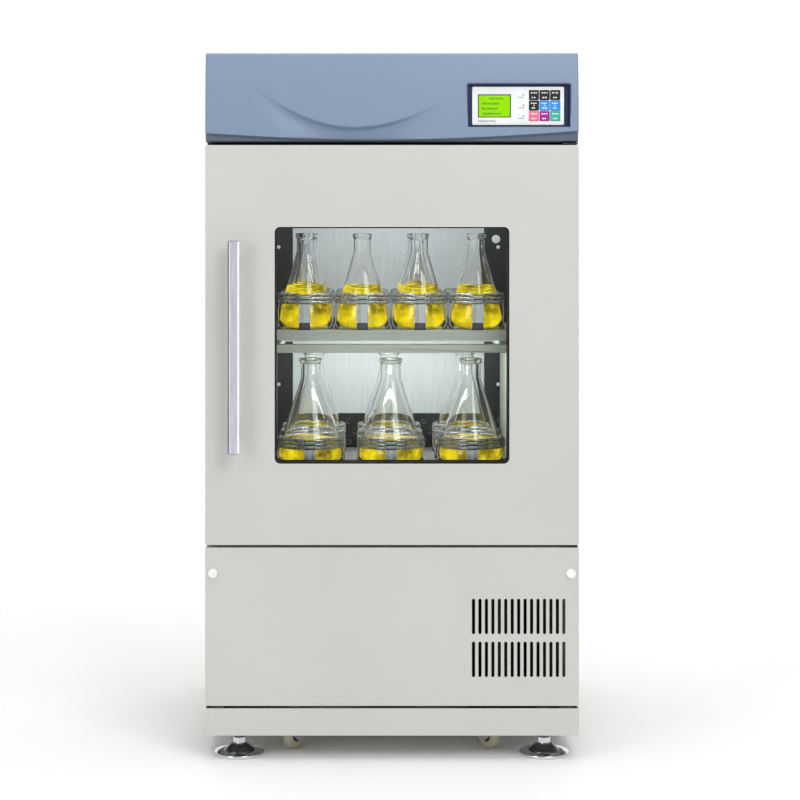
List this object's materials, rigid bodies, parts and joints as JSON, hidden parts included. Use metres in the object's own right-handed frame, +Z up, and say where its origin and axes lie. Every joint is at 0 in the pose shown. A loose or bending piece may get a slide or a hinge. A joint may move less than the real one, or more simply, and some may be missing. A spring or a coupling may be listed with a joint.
{
  "type": "orbital shaker",
  "caption": "Floor-standing refrigerated incubator shaker: glazed hinged door over stacked orbiting flask trays, control head above, slotted machine compartment below, on feet and casters.",
  "frame": {"origin": "on the floor, at the centre of the footprint of the whole machine with the handle counted in its depth", "axes": "+Z up, +Y to the rear of the machine, +X to the right of a person facing the door"},
  "size_m": [0.74, 0.726, 1.4],
  "materials": {
    "cream_powder_coat": "satin",
    "blue_grey_hood": "satin",
    "stainless_steel": "satin",
    "spring_steel": "satin",
    "black_duct_panel": "matte",
    "insulation": "matte",
    "coil_aluminium": "satin",
    "control_plate_white": "satin",
    "lcd_green": "gloss",
    "zinc_plate": "satin",
    "painted_rack": "satin",
    "black_enamel": "satin",
    "cast_iron": "matte",
    "black_rubber": "matte",
    "black_plastic": "matte",
    "key_black": "satin",
    "key_blue": "satin",
    "key_pink": "satin",
    "key_magenta": "satin",
    "key_teal": "satin",
    "white_plastic": "satin",
    "door_liner_white": "satin",
    "clear_glass": "gloss",
    "anodised_handle": "satin",
    "chrome_foot": "polished",
    "ivory_wheel": "satin"
  },
  "bodies": {
    "cabinet": {"base_frame": "cream_powder_coat", "lower_front_panel": "cream_powder_coat", "cabinet_shell": "cream_powder_coat", "rear_panel": "cream_powder_coat", "chamber_liner": "stainless_steel", "insulation_foam": "insulation", "air_duct_panel": "black_duct_panel", "duct_cover": "stainless_steel", "evaporator_coil": "coil_aluminium", "head_fascia": "blue_grey_hood", "control_plate": "control_plate_white", "lcd_display": "lcd_green", "top_hinge": "zinc_plate", "bottom_hinge": "zinc_plate", "compressor": "black_enamel", "condenser": "coil_aluminium", "drive_motor": "cast_iron", "drive_belt": "black_rubber"},
    "door": {"door_outer_shell": "cream_powder_coat", "door_inner_panel": "door_liner_white", "outer_glass": "clear_glass", "inner_glass": "clear_glass", "door_gasket": "black_rubber", "door_handle": "anodised_handle"},
    "main_crank": {"main_crank": "cast_iron"},
    "carriage": {"carriage_frame": "zinc_plate", "upper_rack": "painted_rack", "lower_tray": "stainless_steel", "upper_tray": "stainless_steel", "lower_clamps": "spring_steel", "upper_clamps": "spring_steel"},
    "idler_crank_left": {"idler_crank_left": "cast_iron"},
    "idler_crank_right": {"idler_crank_right": "cast_iron"},
    "motor_pulley": {"motor_pulley": "stainless_steel"},
    "circulation_fan": {"circulation_fan": "black_plastic"},
    "condenser_fan": {"condenser_fan": "black_plastic"},
    "power_switch": {"power_switch": "black_plastic"},
    "panel_knob_left": {"panel_knob_left": "white_plastic"},
    "panel_knob_right": {"panel_knob_right": "white_plastic"},
    "key_1_1": {"key_1_1": "key_black"},
    "key_1_2": {"key_1_2": "key_black"},
    "key_1_3": {"key_1_3": "key_black"},
    "key_2_1": {"key_2_1": "key_black"},
    "key_2_2": {"key_2_2": "key_blue"},
    "key_2_3": {"key_2_3": "key_blue"},
    "key_3_1": {"key_3_1": "key_pink"},
    "key_3_2": {"key_3_2": "key_magenta"},
    "key_3_3": {"key_3_3": "key_teal"},
    "foot_front_left": {"foot_front_left": "chrome_foot"},
    "foot_front_right": {"foot_front_right": "chrome_foot"},
    "foot_rear_left": {"foot_rear_left": "chrome_foot"},
    "foot_rear_right": {"foot_rear_right": "chrome_foot"},
    "caster_front_left_swivel": {"caster_front_left_fork": "zinc_plate"},
    "caster_front_left_wheel": {"caster_front_left_wheel": "ivory_wheel"},
    "caster_front_right_swivel": {"caster_front_right_fork": "zinc_plate"},
    "caster_front_right_wheel": {"caster_front_right_wheel": "ivory_wheel"},
    "caster_rear_left_swivel": {"caster_rear_left_fork": "zinc_plate"},
    "caster_rear_left_wheel": {"caster_rear_left_wheel": "ivory_wheel"},
    "caster_rear_right_swivel": {"caster_rear_right_fork": "zinc_plate"},
    "caster_rear_right_wheel": {"caster_rear_right_wheel": "ivory_wheel"}
  },
  "joints": [
    {"name": "door_swing", "type": "hinge", "parent": "cabinet", "child": "door", "pos_m": [0.355, -0.302, 0.82], "axis": [0, 0, 1], "range_deg": [0, 110]},
    {"name": "main_crank_spin", "type": "hinge", "parent": "cabinet", "child": "main_crank", "pos_m": [0, 0.06, 0.44], "axis": [0, 0, 1], "continuous": true},
    {"name": "carriage_pin", "type": "hinge", "parent": "main_crank", "child": "carriage", "pos_m": [0, 0.073, 0.51], "axis": [0, 0, 1], "continuous": true},
    {"name": "idler_left_spin", "type": "hinge", "parent": "cabinet", "child": "idler_crank_left", "pos_m": [-0.19, -0.12, 0.44], "axis": [0, 0, 1], "continuous": true},
    {"name": "idler_right_spin", "type": "hinge", "parent": "cabinet", "child": "idler_crank_right", "pos_m": [0.19, -0.12, 0.44], "axis": [0, 0, 1], "continuous": true},
    {"name": "motor_spin", "type": "hinge", "parent": "cabinet", "child": "motor_pulley", "pos_m": [-0.215, 0.205, 0.4], "axis": [0, 0, 1], "continuous": true},
    {"name": "circulation_fan_spin", "type": "hinge", "parent": "cabinet", "child": "circulation_fan", "pos_m": [0, 0.264, 0.548], "axis": [0, 1, 0], "continuous": true},
    {"name": "condenser_fan_spin", "type": "hinge", "parent": "cabinet", "child": "condenser_fan", "pos_m": [0.244, -0.225, 0.24], "axis": [0, 1, 0], "continuous": true},
    {"name": "power_switch_rock", "type": "hinge", "parent": "cabinet", "child": "power_switch", "pos_m": [0.362, -0.18, 1.31], "axis": [0, -1, 0], "range_deg": [0, 14]},
    {"name": "panel_knob_left_turn", "type": "hinge", "parent": "cabinet", "child": "panel_knob_left", "pos_m": [-0.3545, -0.32, 0.3695], "axis": [0, 1, 0], "range_deg": [0, 90]},
    {"name": "panel_knob_right_turn", "type": "hinge", "parent": "cabinet", "child": "panel_knob_right", "pos_m": [0.3545, -0.32, 0.3695], "axis": [0, 1, 0], "range_deg": [0, 90]},
    {"name": "key_1_1_press", "type": "slide", "parent": "cabinet", "child": "key_1_1", "axis": [0, 1, 0], "range_m": [0, 0.0008], "stiffness_N_per_m": 400},
    {"name": "key_1_2_press", "type": "slide", "parent": "cabinet", "child": "key_1_2", "axis": [0, 1, 0], "range_m": [0, 0.0008], "stiffness_N_per_m": 400},
    {"name": "key_1_3_press", "type": "slide", "parent": "cabinet", "child": "key_1_3", "axis": [0, 1, 0], "range_m": [0, 0.0008], "stiffness_N_per_m": 400},
    {"name": "key_2_1_press", "type": "slide", "parent": "cabinet", "child": "key_2_1", "axis": [0, 1, 0], "range_m": [0, 0.0008], "stiffness_N_per_m": 400},
    {"name": "key_2_2_press", "type": "slide", "parent": "cabinet", "child": "key_2_2", "axis": [0, 1, 0], "range_m": [0, 0.0008], "stiffness_N_per_m": 400},
    {"name": "key_2_3_press", "type": "slide", "parent": "cabinet", "child": "key_2_3", "axis": [0, 1, 0], "range_m": [0, 0.0008], "stiffness_N_per_m": 400},
    {"name": "key_3_1_press", "type": "slide", "parent": "cabinet", "child": "key_3_1", "axis": [0, 1, 0], "range_m": [0, 0.0008], "stiffness_N_per_m": 400},
    {"name": "key_3_2_press", "type": "slide", "parent": "cabinet", "child": "key_3_2", "axis": [0, 1, 0], "range_m": [0, 0.0008], "stiffness_N_per_m": 400},
    {"name": "key_3_3_press", "type": "slide", "parent": "cabinet", "child": "key_3_3", "axis": [0, 1, 0], "range_m": [0, 0.0008], "stiffness_N_per_m": 400},
    {"name": "foot_front_left_level", "type": "slide", "parent": "cabinet", "child": "foot_front_left", "axis": [0, 0, 1], "range_m": [-0.02, 0.02]},
    {"name": "foot_front_right_level", "type": "slide", "parent": "cabinet", "child": "foot_front_right", "axis": [0, 0, 1], "range_m": [-0.02, 0.02]},
    {"name": "foot_rear_left_level", "type": "slide", "parent": "cabinet", "child": "foot_rear_left", "axis": [0, 0, 1], "range_m": [-0.02, 0.02]},
    {"name": "foot_rear_right_level", "type": "slide", "parent": "cabinet", "child": "foot_rear_right", "axis": [0, 0, 1], "range_m": [-0.02, 0.02]},
    {"name": "caster_front_left_swivel", "type": "hinge", "parent": "cabinet", "child": "caster_front_left_swivel", "pos_m": [-0.2107, -0.245, 0.07], "axis": [0, 0, 1], "continuous": true},
    {"name": "caster_front_left_roll", "type": "hinge", "parent": "caster_front_left_swivel", "child": "caster_front_left_wheel", "pos_m": [-0.19797, -0.23227, 0.0275], "axis": [0.7071, -0.7071, 0], "continuous": true},
    {"name": "caster_front_right_swivel", "type": "hinge", "parent": "cabinet", "child": "caster_front_right_swivel", "pos_m": [0.2107, -0.245, 0.07], "axis": [0, 0, 1], "continuous": true},
    {"name": "caster_front_right_roll", "type": "hinge", "parent": "caster_front_right_swivel", "child": "caster_front_right_wheel", "pos_m": [0.19797, -0.23227, 0.0275], "axis": [0.7071, 0.7071, 0], "continuous": true},
    {"name": "caster_rear_left_swivel", "type": "hinge", "parent": "cabinet", "child": "caster_rear_left_swivel", "pos_m": [-0.2107, 0.285, 0.07], "axis": [0, 0, 1], "continuous": true},
    {"name": "caster_rear_left_roll", "type": "hinge", "parent": "caster_rear_left_swivel", "child": "caster_rear_left_wheel", "pos_m": [-0.21686, 0.30191, 0.0275], "axis": [0.9397, 0.342, 0], "continuous": true},
    {"name": "caster_rear_right_swivel", "type": "hinge", "parent": "cabinet", "child": "caster_rear_right_swivel", "pos_m": [0.2107, 0.285, 0.07], "axis": [0, 0, 1], "continuous": true},
    {"name": "caster_rear_right_roll", "type": "hinge", "parent": "caster_rear_right_swivel", "child": "caster_rear_right_wheel", "pos_m": [0.21686, 0.30191, 0.0275], "axis": [0.9397, -0.342, 0], "continuous": true}
  ],
  "couplings": [
    {"joint": "carriage_pin", "follows": "main_crank_spin", "ratio": -1},
    {"joint": "idler_left_spin", "follows": "main_crank_spin", "ratio": 1},
    {"joint": "idler_right_spin", "follows": "main_crank_spin", "ratio": 1},
    {"joint": "motor_spin", "follows": "main_crank_spin", "ratio": 4}
  ]
}
